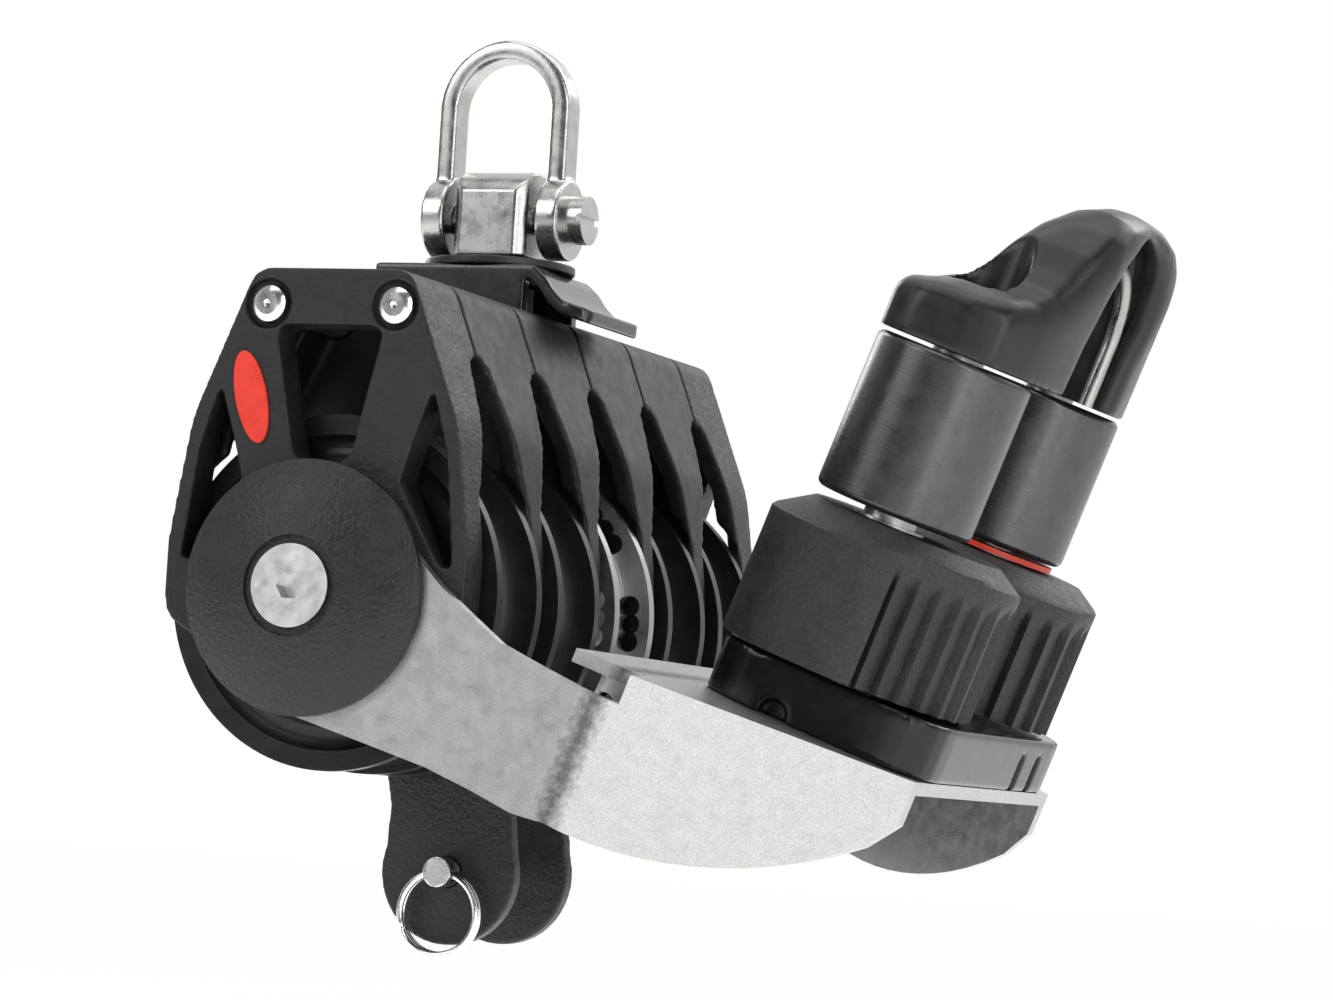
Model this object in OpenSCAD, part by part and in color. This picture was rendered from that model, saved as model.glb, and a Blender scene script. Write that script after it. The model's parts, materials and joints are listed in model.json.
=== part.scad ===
// Five-sheave mainsheet block with swivel shackle head, becket and an arm-mounted cam cleat.
// Millimetres. X points from the block to the cleat, Y runs along the axle, Z is up.
// The origin is the crown of the shackle bow, where the object hangs.
// Inside the modules places are measured from the middle of the axle, and hang() moves them to the origin.

/* [Block] */
// Outer radius of a sheave
sheave_r = 28.5; // [28:0.5:30]
// Width of a sheave
sheave_w = 18.2; // [16:0.2:18.6]
// Spacing of the sheaves along the axle
pitch = 25; // [24.8:0.1:26]
// Thickness of the web of a divider plate
web_t = 5.4; // [4.6:0.1:5.6]
// Thickness of the web of an outer cheek
cheek_t = 7; // [6:0.1:8]
// Height of the flat top of the plates above the axle
plate_top = 51.1; // [50:0.1:52]
// Wall of the shroud that bridges the plates
shroud_t = 3.4; // [2.6:0.1:4]
// Radius of the main axle
axle_r = 6; // [5:0.5:6.5]
// Forward and backward offset of the tie bolts
tie_x = 11.1; // [10:0.1:11.5]
// Height of the tie bolts above the axle
tie_z = 45.3; // [44.6:0.1:45.8]

/* [Hub caps] */
// Radius of a hub cap
cap_r = 20.3; // [19:0.1:21]
// Height of the domed part of a hub cap
cap_rise = 5.1; // [4:0.1:6]
// Radius of the countersunk head of a hub screw
hub_head_r = 6.6; // [6:0.1:7]

/* [Head] */
// Forward offset of the swivel post
post_x = -0.4; // [-1:0.1:0.4]
// Height of the shackle pin above the axle
pin_z = 68.6; // [68.4:0.1:70]
// Inner half width of the shackle bow
bow_in = 8.75; // [8.5:0.05:10]
// Thickness of the bow stock, seen from the side
bow_t = 3.4; // [3:0.1:4]
// Height of the inner crown of the bow above the axle
crown_z = 96.3; // [94:0.1:106]

/* [Cleat] */
// Forward distance of the cleat from the axle
cleat_x = 75.5; // [74.5:0.1:78]
// Forward tilt of the cleat
tilt = 20.1; // [15:0.1:25]
// Half spacing of the two cam posts
post_y = 26.3; // [26.2:0.1:27]
// Radius of the round back of a cam
cam_r = 18.5; // [17:0.1:18.8]
// Height of a cam
cam_h = 25; // [22:0.5:25]
// Radius of a fairlead roller
roller_r = 13.2; // [11:0.1:13.5]
// Length of a fairlead roller
roller_h = 26.8; // [24:0.2:27]

/* [Bracket] */
// Thickness of the bracket sheet
sheet_t = 2.2; // [1.8:0.1:2.4]
// Inward fold of the bracket sides
fold = 36.5; // [35:0.1:38]
// Length of a folded bracket side
side_l = 53.5; // [52:0.5:54]

/* [Becket] */
// Thickness of a becket plate
becket_t = 3; // [2:0.1:3]
// Radius of the rounded end of a becket plate
becket_r = 12.2; // [11:0.1:13]
// Depth of the becket pin below the axle
becket_z = -44; // [-45:0.1:-43.4]
// Radius of the becket pin
becket_pin_r = 2.5; // [2:0.1:2.6]

/* [Hidden] */
$fn = 64;
sheaves = 5;
run = 0.05;               // radial clearance of a running fit
seat = 0.02;              // radial clearance of a seated part
seam = 0.08;              // half of the gap where two shrouds meet
side_gap = (pitch - web_t) / 2;            // from a sheave's centre plane to the next web
cheek_in = 2 * pitch + side_gap;           // inner face of a cheek
cheek_out = cheek_in + cheek_t;            // outer face of a cheek
hub_r = 19;               // lower round of the plates
race_r = 13;              // outer radius of a bearing hub
ball_r = 2.4;
ball_count = 16;
bore_r = race_r + 0.2 + 2 * ball_r;        // bore of a sheave
arm_in = cheek_out + 0.3;                  // inner face of a bracket arm
arm_out = arm_in + sheet_t;
spigot_r = 9;
cap_in = arm_out + 0.3;                    // inner face of a hub cap
cap_edge = 1.1;
screw_face = cap_in + cap_edge + cap_rise - 0.6;
tie_r = 2.5;
pin_r = 2.5;
eye_r = 7;
strap_y = 12.3;           // outer face of the legs of the head bracket
strap_t = 2.5;
strap_top = 59.5;
cleat_screw_r = 3;
plate_h = -17.6;          // top of the bracket plate, along the cleat's own axis
base_top = -8.3;
cam_low = -7.6;
cam_top = cam_low + cam_h;
roller_low = 19.2;
roller_top = roller_low + roller_h;
lead_low = roller_top + 0.6;
crease_u = -19;           // where the bracket sides fold
pocket = 0.05;            // clearance of a plate let into another
ring_wire_r = 0.6;
ring_r = 6.9;
ring_y = -15.5;
ring_x = 2.6;             // forward offset of the becket

function sheave_y(i) = (i - 3) * pitch;
function divider_y(i) = (i - 2.5) * pitch;
function mirror_x(points) = [for (p = points) [-p[0], p[1]]];
function reversed(points) = [for (i = [len(points) - 1:-1:0]) points[i]];
function unit(v) = v / norm(v);
// One rounded corner of an outline, as a quadratic curve that starts and ends r from the corner.
function corner(before, at, after, r, steps = 6) =
    let (start = at + r * unit(before - at), end = at + r * unit(after - at))
    [for (i = [0:steps]) let (t = i / steps) (1 - t) * (1 - t) * start + 2 * t * (1 - t) * at + t * t * end];
// A closed outline with every corner rounded.
function softened(points, r) = let (n = len(points))
    [for (i = [0:n - 1]) each corner(points[(i + n - 1) % n], points[i], points[(i + 1) % n], r)];

module hang() { translate([-post_x, 0, -crown_z]) children(); }
module on_cleat() { translate([cleat_x, 0, 0]) rotate([0, tilt, 0]) children(); }
module both_sides() { children(); mirror([0, 1, 0]) children(); }
// Stands a cylinder or an outline along Y, from y0 to y1; the outline keeps X and Z.
module slab(y0, y1) { translate([0, y1, 0]) rotate([90, 0, 0]) linear_extrude(y1 - y0) children(); }
module rod_y(r, y0, y1) { translate([0, y0, 0]) rotate([-90, 0, 0]) cylinder(r = r, h = y1 - y0); }
module rod_x(r, x0, x1) { translate([x0, 0, 0]) rotate([0, 90, 0]) cylinder(r = r, h = x1 - x0); }
module tube(r_out, r_in, z0, z1) {
    translate([0, 0, z0]) difference() {
        cylinder(r = r_out, h = z1 - z0);
        translate([0, 0, -1]) cylinder(r = r_in, h = z1 - z0 + 2);
    }
}

// Outline shared by cheeks and dividers: a shield with a round hub below.
shield_side = [[13.6, plate_top], [23.2, 27], [26.2, 7], [26, -5], [15.5, -11]];
shield_inner = [[13.6 - shroud_t, plate_top - shroud_t], [23.2 - shroud_t, 27], [26.2 - shroud_t, 0]];
module plate_outline() {
    polygon(softened(concat(shield_side, reversed(mirror_x(shield_side))), 3));
    circle(r = hub_r);
}
module shroud_outline() {
    difference() {
        plate_outline();
        polygon(concat(shield_inner, reversed(mirror_x(shield_inner))));
        translate([-40, -60]) square([80, 70]);
    }
}
// The rope slot of one sheave through the front and back of the shroud.
module rope_slot(y) {
    slot_top = 35;
    slot_r = 4;
    translate([-60, y, 0]) rotate([90, 0, 90]) linear_extrude(120) {
        translate([0, slot_top]) circle(r = slot_r);
        polygon([[-side_gap, -60], [side_gap, -60], [side_gap, 14], [slot_r, slot_top], [-slot_r, slot_top],
            [-side_gap, 14]]);
    }
}
module sheave_room(y) { rod_y(sheave_r + 1.2, y - side_gap, y + side_gap); }
module tie_holes(y0, y1) {
    for (side = [-1, 1]) translate([side * tie_x, 0, tie_z]) rod_y(tie_r + seat, y0, y1);
}
module window_v() { polygon(softened([[-9.4, 42], [9.4, 42], [4.8, 20.2], [-4.8, 20.2]], 2.4)); }
module window_side() {
    polygon(softened([[18.6, 32.4], [21.6, 22], [23.6, 4], [21.6, 4.2], [13.8, 17.2], [15.8, 24]], 0.9));
}

module cheek() {
    color("#2a2a2c") difference() {
        union() {
            slab(cheek_in, cheek_out) plate_outline();
            slab(2 * pitch + seam, cheek_in) shroud_outline();
        }
        rope_slot(2 * pitch);
        sheave_room(2 * pitch);
        slab(cheek_in - 1, cheek_out + 1) window_v();
        for (side = [0, 1]) mirror([side, 0, 0]) slab(cheek_in - 1, cheek_out + 1) window_side();
        tie_holes(2 * pitch, cheek_out + 1);
        for (side = [-1, 1]) translate([side * tie_x, 0, tie_z]) rod_y(4, cheek_out - 1.6, cheek_out + 1);
        rod_y(18.2, cheek_out - 1, cheek_out + 1);
        rod_y(axle_r + seat, cheek_in - 1, cheek_out + 1);
    }
}
module cheek_near() { mirror([0, 1, 0]) cheek(); }
module cheek_far() { cheek(); }

module divider(i) {
    y = divider_y(i);
    color("#262628") difference() {
        union() {
            slab(y - web_t / 2, y + web_t / 2) plate_outline();
            slab(y - pitch / 2 + seam, y + pitch / 2 - seam) shroud_outline();
        }
        for (s = [-1, 1]) rope_slot(y + s * pitch / 2);
        for (s = [-1, 1]) sheave_room(y + s * pitch / 2);
        tie_holes(y - pitch, y + pitch);
        rod_y(axle_r + seat, y - web_t, y + web_t);
        if (abs(y) < pitch) {
            inner = side_gap - 1;
            strap_out = strap_y + pocket;
            becket_out = side_gap + 0.2 + becket_t + pocket;
            mirror([0, y < 0 ? 1 : 0, 0]) {
                slab(strap_y - strap_t - pocket, strap_out) strap_outline(pocket);
                slab(inner, becket_out) becket_outline(0.1);
                slab(inner, strap_out) translate([-14.2, 39.8]) square([28.4, 8.2]);
            }
        }
    }
}

// The legs of the head bracket, which reach down to the tie bolts.
module strap_outline(grow = 0) {
    polygon([[-18.5 - grow, strap_top], [9.4 + grow, strap_top], [9.4 + grow, 49.8], [13.8 + grow, 47],
        [13.8 + grow, 40 - grow], [-13.8 - grow, 40 - grow], [-13.8 - grow, 48.6], [-18.5 - grow, 55.5]]);
}
module head_bracket() {
    lip_top = [[9, strap_top], [11.2, 59.2], [13.3, 57.4], [15, 55], [16.8, 53.3], [21.8, 51.9]];
    lip_low = [[21.4, 49.5], [16.2, 51], [14, 52.8], [12.1, 55.4], [10.6, 56.8], [9, strap_top - strap_t]];
    lip_half = 12.3;
    lip_back = 5;
    lip_l = 17;
    lip_r = 4;
    color("#151516") {
        difference() {
            union() {
                both_sides() slab(strap_y - strap_t, strap_y) strap_outline();
                translate([-18.5, -strap_y, strap_top - strap_t]) cube([27.9, 2 * strap_y, strap_t]);
                intersection() {
                    slab(-lip_half, lip_half) polygon(concat(lip_top, lip_low));
                    translate([lip_back, -lip_half, 40]) linear_extrude(30)
                        polygon(softened([[0, 0], [lip_l, 0], [lip_l, 2 * lip_half], [0, 2 * lip_half]], lip_r));
                }
            }
            tie_holes(-strap_y - 1, strap_y + 1);
            translate([post_x, 0, 50]) cylinder(r = 4 + run, h = 20);
        }
    }
}

module shackle_bow() {
    leg_r = bow_in + bow_t / 2;
    crown_c = crown_z - bow_in;
    half_y = 3;
    module stock() { intersection() { square([bow_t, 2 * half_y], center = true); circle(r = 3.1); } }
    color("#b9bbbd") translate([post_x, 0, 0]) difference() {
        union() {
            translate([0, 0, crown_c]) rotate([90, 0, 0]) rotate_extrude(angle = 180)
                translate([leg_r, 0]) stock();
            for (s = [-1, 1]) {
                translate([s * leg_r, 0, pin_z + 3.2]) linear_extrude(crown_c - pin_z - 3.2) stock();
                translate([s * (leg_r + 0.2) - 2.1, 0, pin_z]) rod_x(eye_r, 0, 4.2);
            }
        }
        translate([0, 0, pin_z]) rod_x(pin_r + seat, -20, 20);
    }
}
module shackle_pin() {
    outer = bow_in + bow_t + 0.6;
    color("#c6c8ca") translate([post_x, 0, pin_z]) difference() {
        union() {
            rod_x(pin_r, -outer - 0.6, outer + 2);
            rod_x(4.2, outer, outer + 3.4);
        }
        translate([outer + 2.6, -6, -0.6]) cube([3, 12, 1.2]);
    }
}
module swivel_post() {
    half_x = 6.7;
    half_y = 7;
    low = 61.6;
    color("#b4b6b8") translate([post_x, 0, 0]) difference() {
        union() {
            intersection() {
                union() {
                    intersection() {
                        translate([0, 0, pin_z]) rod_x(8.2, -half_x, half_x);
                        translate([-half_x - 1, -half_y, pin_z - 1]) cube([2 * half_x + 2, 2 * half_y, 20]);
                    }
                    translate([-half_x, -half_y, low]) cube([2 * half_x, 2 * half_y, pin_z - low]);
                }
                translate([0, 0, low - 1]) cylinder(r = 8.6, h = 30);
            }
            translate([0, 0, 52.6]) cylinder(r = 4, h = low - 52.1);
        }
        translate([0, 0, pin_z]) rod_x(pin_r + run, -20, 20);
    }
}
module swivel_washer() {
    color("#1b1b1c") translate([post_x, 0, 0]) tube(13, 4 + run, strap_top, strap_top + 1.4);
}
module swivel_nut() {
    color("#a9abad") translate([post_x, 0, 52.5]) difference() {
        cylinder(r = 6.6, h = 4, $fn = 6);
        translate([0, 0, -1]) cylinder(r = 4 + seat, h = 6);
    }
}

module tie_bolts() {
    color("#cfd1d3") for (side = [-1, 1]) translate([side * tie_x, 0, tie_z]) {
        rod_y(tie_r, -cheek_out + 1, cheek_out - 1);
        both_sides() difference() {
            intersection() {
                rod_y(2.9, cheek_out - 1.5, cheek_out + 0.4);
                translate([0, cheek_out - 3.6, 0]) sphere(r = 4.4);
            }
            translate([0, cheek_out - 0.2, 0]) rotate([-90, 0, 0]) cylinder(r1 = 0, r2 = 1.4, h = 1.4);
        }
    }
}

// A sheave turned about its own axis, which is Z here.
module sheave_body() {
    groove_r = 6.9;
    groove_c = 27.2;
    rotate_extrude($fn = 96) difference() {
        translate([bore_r, -sheave_w / 2]) square([sheave_r - bore_r, sheave_w]);
        translate([groove_c, 0]) circle(r = groove_r);
        translate([groove_c, -groove_r]) square([4, 2 * groove_r]);
        for (s = [-1, 1]) translate([23.4, s * (sheave_w / 2 + 1.8)]) circle(r = 2.6);
    }
}
module sheave_windows() {
    windows = 9;
    for (i = [0:windows - 1]) rotate([0, 0, i * 360 / windows]) for (turn = [-7, 0, 7])
        rotate([0, 0, turn]) translate([24.9, 0, -20]) cylinder(r = 1.8, h = 40);
}
module sheave(i) {
    translate([0, sheave_y(i), 0]) rotate([90, 0, 0])
        if (i == 3) color("#7d7f80") difference() { sheave_body(); sheave_windows(); }
        else color("#1f1f20") sheave_body();
}
module balls(i) {
    color("#e6e2d6") translate([0, sheave_y(i), 0]) for (k = [0:ball_count - 1])
        rotate([0, k * 360 / ball_count, 0]) translate([bore_r - ball_r + seat, 0, 0])
            sphere(r = ball_r, $fn = 24);
}
module hub(i) {
    color("#d8d4c8") translate([0, sheave_y(i), 0]) difference() {
        rod_y(race_r, -side_gap, side_gap);
        rod_y(axle_r + seat, -side_gap - 1, side_gap + 1);
    }
}
module axle() {
    color("#a4a6a8") difference() {
        rod_y(axle_r, -cheek_out + 1, cheek_out - 1);
        rod_y(3 + seat, -cheek_out - 1, cheek_out + 1);
    }
}

module cap() {
    dome_r = (cap_r * cap_r + cap_rise * cap_rise) / (2 * cap_rise);
    top = cap_in + cap_edge + cap_rise;
    head_deep = 3.6;
    color("#242425") difference() {
        union() {
            rod_y(spigot_r, cheek_out - 0.95, cap_in + 1);
            intersection() {
                rod_y(cap_r, cap_in, top);
                translate([0, top - dome_r, 0]) sphere(r = dome_r, $fn = 96);
            }
        }
        rod_y(8, screw_face - 0.8, top + 1);
        rod_y(3 + seat, cheek_out - 2, top);
        translate([0, screw_face - head_deep, 0]) rotate([-90, 0, 0])
            cylinder(r1 = 3 + seat, r2 = hub_head_r + seat, h = head_deep);
        rod_y(hub_head_r + seat, screw_face - 0.01, top + 1);
    }
}
module cap_near() { mirror([0, 1, 0]) cap(); }
module cap_far() { cap(); }
module hub_screws() {
    head_deep = 3.6;
    color("#cdcfd1") both_sides() difference() {
        union() {
            rod_y(3, 40, screw_face - 1);
            translate([0, screw_face - head_deep, 0]) rotate([-90, 0, 0])
                cylinder(r1 = 3, r2 = hub_head_r, h = head_deep);
        }
        translate([0, screw_face - 2.4, 0]) rotate([-90, 0, 0]) cylinder(r = 2.3, h = 4, $fn = 6);
    }
}
module arm_washers() {
    color("#3a3a3c") both_sides() difference() {
        rod_y(18, cheek_out - 0.98, cheek_out + 0.22);
        rod_y(spigot_r + seat, cheek_out - 2, cheek_out + 1);
    }
}

// The stainless bracket: a round eye and an arm on each side, folded in to a channel under the cleat.
side_low = -44.2;         // lowest point of the folded sides
arm_neck = -22.4;          // top of the arm where it meets the fold
relief = 3.4;             // length of the relief cut between arm and plate
front_u = crease_u + side_l * cos(fold);
function cleat_point(u, h) = [cleat_x + u * cos(tilt) + h * sin(tilt), h * cos(tilt) - u * sin(tilt)];
// Lower edge of a folded side at distance s from the fold: one wide arc.
function side_edge(s) = let (r = 68) side_low + r - sqrt(r * r - (s - 8) * (s - 8));
function fold_y(u, inset) = arm_out - (u - crease_u) * tan(fold) - inset / cos(fold);
module arm_outline() {
    steps = 12;
    flat_l = side_l - 4;
    polygon(concat([[0, 16], [12.6, 14], [18.6, 6], [23, 1.4], [28.6, -3.2], [34, -7.4], [40, -10.2]],
        [cleat_point(crease_u, arm_neck), cleat_point(crease_u + relief, arm_neck)],
        [cleat_point(crease_u + relief, plate_h), cleat_point(front_u, plate_h), cleat_point(front_u, -25)],
        [for (i = [steps:-1:0]) let (s = flat_l * i / steps)
            cleat_point(crease_u + s * cos(fold), side_edge(s))],
        [[37.3, -33.3], [30.4, -30.2], [22.4, -27], [15.7, -25], [7.6, -22.6], [-2.3, -19.7], [-6, -10]]));
}
// The sheet seen along the cleat's axis: straight along the arm, then folded inwards.
module sheet_path() {
    past = 8;
    bend_r = 4;
    fold_end = [crease_u + past + side_l * cos(fold), fold_y(crease_u + past + side_l * cos(fold), 0)];
    inner_crease = [crease_u - sheet_t * tan(fold / 2), arm_in];
    polygon(concat([[-110, arm_in], [-110, arm_out]],
        corner([-110, arm_out], [crease_u, arm_out], fold_end, bend_r),
        [fold_end, fold_end - sheet_t * [sin(fold), cos(fold)]],
        corner(fold_end - sheet_t * [sin(fold), cos(fold)], inner_crease, [-110, arm_in], bend_r - 1)));
}
module bracket_side() {
    difference() {
        union() {
            intersection() {
                on_cleat() translate([0, 0, -60]) linear_extrude(70) sheet_path();
                slab(10, 80) arm_outline();
            }
            rod_y(hub_r, arm_in, arm_out);
        }
        rod_y(spigot_r + run, arm_in - 1, arm_out + 1);
    }
}
module cleat_bracket() {
    tail_u = -27;
    tail_y = 63;
    inset = sheet_t / 2;
    half = [[front_u, fold_y(front_u, inset)], [crease_u + relief, fold_y(crease_u + relief, inset)],
        [crease_u + relief - 0.4, 61], [tail_u, tail_y]];
    color("#c9cbcd") difference() {
        union() {
            both_sides() bracket_side();
            on_cleat() translate([0, 0, plate_h - sheet_t]) linear_extrude(sheet_t)
                polygon(concat(half, [for (i = [3:-1:0]) [half[i][0], -half[i][1]]]));
        }
        on_cleat() both_sides() translate([0, post_y, plate_h - 5])
            cylinder(r = cleat_screw_r + seat, h = 10);
    }
}

module base_outline() {
    polygon(softened([[-16.8, -38.5], [24.4, -38.5], [24.4, 38.5], [-16.8, 38.5]], 11));
}
module cleat_base() {
    notch_r = 2.4;
    color("#101011") on_cleat() difference() {
        translate([0, 0, plate_h]) linear_extrude(base_top - plate_h) base_outline();
        both_sides() translate([0, post_y, plate_h - 1]) cylinder(r = cleat_screw_r + seat, h = 20);
        both_sides() translate([-2, 39.5, plate_h + 0.6]) rotate([90, 0, 0]) cylinder(r = notch_r, h = 3);
        for (y = [12, 21]) translate([22.4, y, plate_h - 1]) cube([4, 1.8, 7.5]);
    }
}

// Radius of a cam at angle a: round behind, growing towards the front and the gripping side.
function swell(a) = let (d = abs(((a - 47 + 540) % 360) - 180)) d < 95 ? 0.5 + 0.5 * cos(d * 180 / 95) : 0;
cam_grow = 6.4;
teeth = 32;
function tooth(a) = let (f = (a / 360 * teeth) % 1) a > 301 || a < 124 ? tooth_deep * f : 0;
tooth_deep = 1;
function cam_radius(a) = cam_r + cam_grow * pow(swell(a), 0.6) - tooth(a);
module cam_outline() {
    steps = 6 * teeth;
    polygon([for (k = [0:steps - 1]) let (a = 360 * k / steps) cam_radius(a) * [cos(a), sin(a)]]);
}
module cam() {
    cone_h = 5.5;
    color("#2c2c2e") difference() {
        intersection() {
            translate([0, 0, cam_low]) linear_extrude(cam_h) cam_outline();
            union() {
                translate([2.6, 2.8, cam_low - 1]) cylinder(r = 30, h = cam_h + 1 - cone_h);
                translate([2.6, 2.8, cam_top - cone_h]) cylinder(r1 = 24.6, r2 = 16, h = cone_h);
            }
        }
        translate([0, 0, cam_low - 1]) cylinder(r = 6 + run, h = cam_h + 2);
        translate([0, 0, cam_low - 1]) cylinder(r = 10.5, h = 6);
    }
}
module cam_near() { on_cleat() translate([0, -post_y, 0]) cam(); }
module cam_far() { on_cleat() translate([0, post_y, 0]) mirror([0, 1, 0]) cam(); }
module cam_bushes() {
    color("#8f9193") on_cleat() both_sides() translate([0, post_y, 0])
        tube(6, cleat_screw_r + seat, base_top, cam_top + 0.4);
}
module cam_springs() {
    wire_w = 1.2;
    coil_r = 7;
    coil_h = 2.6;
    color("#b0b2b4") on_cleat() both_sides() translate([0, post_y, base_top]) {
        translate([0, 0, 0.6]) rotate_extrude(angle = 330) translate([coil_r, 0]) square([wire_w, coil_h]);
        translate([coil_r, 0.1, 0]) cube([wire_w, wire_w, 2]);
    }
}

module roller() {
    chamfer = 0.7;
    color("#1d1d1e") translate([0, 0, roller_low]) difference() {
        union() {
            cylinder(r1 = roller_r - chamfer, r2 = roller_r, h = chamfer, $fn = 96);
            translate([0, 0, chamfer]) cylinder(r = roller_r, h = roller_h - 2 * chamfer, $fn = 96);
            translate([0, 0, roller_h - chamfer])
                cylinder(r1 = roller_r, r2 = roller_r - chamfer, h = chamfer, $fn = 96);
        }
        translate([0, 0, -1]) cylinder(r = 4.5 + run, h = roller_h + 2);
    }
}
module roller_near() { on_cleat() translate([0, -post_y, 0]) roller(); }
module roller_far() { on_cleat() translate([0, post_y, 0]) roller(); }
washer_t = 0.9;
module roller_bushes() {
    low = cam_top + 0.4;
    color("#9a9c9e") on_cleat() {
        translate([0, -post_y, 0]) tube(4.5, cleat_screw_r + seat, low, lead_low);
        translate([0, post_y, 0]) tube(4.5, cleat_screw_r + seat, low + washer_t, lead_low);
    }
}
module red_washer() {
    color("#c8321f") on_cleat() translate([0, post_y, 0])
        tube(12, cleat_screw_r + seat, cam_top + 0.4, cam_top + 0.4 + washer_t);
}

// The fairlead: two feet over the rollers and an arch between them that leans forward.
lead_top = 74.8;
eye_half = 13.2;
eye_c = 57;
module lead_front() {
    outer = [[39.4, lead_low], [39.4, 49.6], [36, 52.2], [31, 53.8], [26.4, 56.4], [22.8, 61.4], [18, 68.8],
        [10, 73.6], [3, lead_top]];
    difference() {
        polygon(concat(outer, reversed(mirror_x(outer))));
        translate([0, eye_c]) circle(r = eye_half);
        translate([-eye_half, lead_low - 1]) square([2 * eye_half, eye_c - lead_low + 1]);
    }
}
module lead_side() {
    polygon([[-13.1, lead_low], [-13.1, 49.6], [-8, 52.6], [-4, 56], [-1.8, 61], [1, 67], [5.4, 72.2],
        [9.6, lead_top + 0.6], [14.5, 74], [17.4, 70], [17.4, 63.6], [16.4, 54], [15.2, lead_low]]);
}
module lead_plan() {
    polygon(softened([[-13.6, -39.7], [13, -39.7], [18, -20], [18, 20], [13, 39.7], [-13.6, 39.7]], 9));
}
module fairlead() {
    color("#222326") on_cleat() difference() {
        intersection() {
            rotate([90, 0, 90]) translate([0, 0, -30]) linear_extrude(60) lead_front();
            slab(-45, 45) lead_side();
            translate([0, 0, lead_low - 5]) linear_extrude(40) lead_plan();
        }
        both_sides() translate([0, post_y, 0]) {
            translate([0, 0, lead_low - 1]) cylinder(r = cleat_screw_r + seat, h = 20);
            translate([0, 0, lead_low + 4]) cylinder(r = 5.4, h = 30);
        }
        liner_path(1.4, 1);
    }
}
// The stainless wire let into the inside of the arch; it follows the eye on the leaning side.
liner_u = 11;
module liner_path(r, below) {
    bar = eye_half - 0.6;
    both_sides() translate([liner_u, bar, lead_low - below])
        cylinder(r = r, h = eye_c - lead_low + below, $fn = 32);
    translate([liner_u, 0, eye_c]) rotate([90, 0, 90]) rotate_extrude(angle = 180) translate([bar, 0])
        circle(r = r, $fn = 32);
}
module fairlead_liner() {
    color("#c4c6c8") on_cleat() liner_path(1.35, 0);
}
module cleat_screws() {
    color("#c2c4c6") on_cleat() both_sides() translate([0, post_y, 0]) difference() {
        union() {
            translate([0, 0, plate_h - 8]) cylinder(r = cleat_screw_r, h = lead_low + 4 - plate_h + 8);
            translate([0, 0, lead_low + 4]) cylinder(r = 5.2, h = 3.2);
        }
        translate([0, 0, lead_low + 5]) cylinder(r = 2.3, h = 4, $fn = 6);
    }
}
module cleat_nuts() {
    color("#bfc1c3") on_cleat() both_sides() translate([0, post_y, plate_h - sheet_t - 5]) difference() {
        cylinder(r = 5.8, h = 5, $fn = 6);
        translate([0, 0, -1]) cylinder(r = cleat_screw_r + seat, h = 8);
    }
}

module becket_outline(grow = 0) {
    translate([ring_x, becket_z]) circle(r = becket_r + grow);
    polygon([[-13 - grow, 0], [-11 - grow, -22], [-8.7 - grow, -33], [-9 - grow, -43], [14.6 + grow, -43],
        [13.4 + grow, -33], [13 + grow, -20], [13 + grow, 0]]);
    circle(r = 13 + grow);
}
module becket_plates() {
    color("#29292b") both_sides() difference() {
        slab(side_gap + 0.2, side_gap + 0.2 + becket_t) becket_outline();
        rod_y(axle_r + seat, 0, 20);
        translate([ring_x, 0, becket_z]) rod_y(becket_pin_r + seat, 0, 20);
    }
}
module becket_pin() {
    far_face = side_gap + 0.2 + becket_t;
    color("#d6d8da") translate([ring_x, 0, becket_z]) difference() {
        union() {
            rod_y(becket_pin_r, -17.6, far_face + 1);
            rod_y(3.9, far_face + 0.05, far_face + 2.2);
        }
        translate([0, ring_y, 0]) rod_x(1.7, -5, 5);
    }
}
module becket_ring() {
    color("#c9cbcd") translate([ring_x, ring_y, becket_z - ring_r]) for (s = [-1, 1])
        translate([0, s * (ring_wire_r - 0.02), 0]) rotate([90, 0, 0]) rotate_extrude()
            translate([ring_r, 0]) circle(r = ring_wire_r, $fn = 24);
}
module badge() {
    half_l = 7.6;
    half_w = 2.7;
    color("#c5261f") translate([-12.8, 0, 30.2]) rotate([0, -15, 0]) slab(-cheek_out - 0.45, -cheek_out)
        polygon([for (k = [0:47]) [half_w * cos(k * 7.5), half_l * sin(k * 7.5)]]);
}

hang() shackle_bow();
hang() shackle_pin();
hang() swivel_post();
hang() swivel_washer();
hang() swivel_nut();
hang() head_bracket();
hang() tie_bolts();
hang() cheek_near();
hang() cheek_far();
hang() divider(1);  // divider_1
hang() divider(2);  // divider_2
hang() divider(3);  // divider_3
hang() divider(4);  // divider_4
hang() sheave(1);  // sheave_1
hang() sheave(2);  // sheave_2
hang() sheave(3);  // sheave_3
hang() sheave(4);  // sheave_4
hang() sheave(5);  // sheave_5
hang() balls(1);  // balls_1
hang() balls(2);  // balls_2
hang() balls(3);  // balls_3
hang() balls(4);  // balls_4
hang() balls(5);  // balls_5
hang() hub(1);  // hub_1
hang() hub(2);  // hub_2
hang() hub(3);  // hub_3
hang() hub(4);  // hub_4
hang() hub(5);  // hub_5
hang() axle();
hang() cap_near();
hang() cap_far();
hang() hub_screws();
hang() arm_washers();
hang() cleat_bracket();
hang() cleat_base();
hang() cam_near();
hang() cam_far();
hang() cam_bushes();
hang() cam_springs();
hang() roller_near();
hang() roller_far();
hang() roller_bushes();
hang() red_washer();
hang() fairlead();
hang() fairlead_liner();
hang() cleat_screws();
hang() cleat_nuts();
hang() becket_plates();
hang() becket_pin();
hang() becket_ring();
hang() badge();
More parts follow.
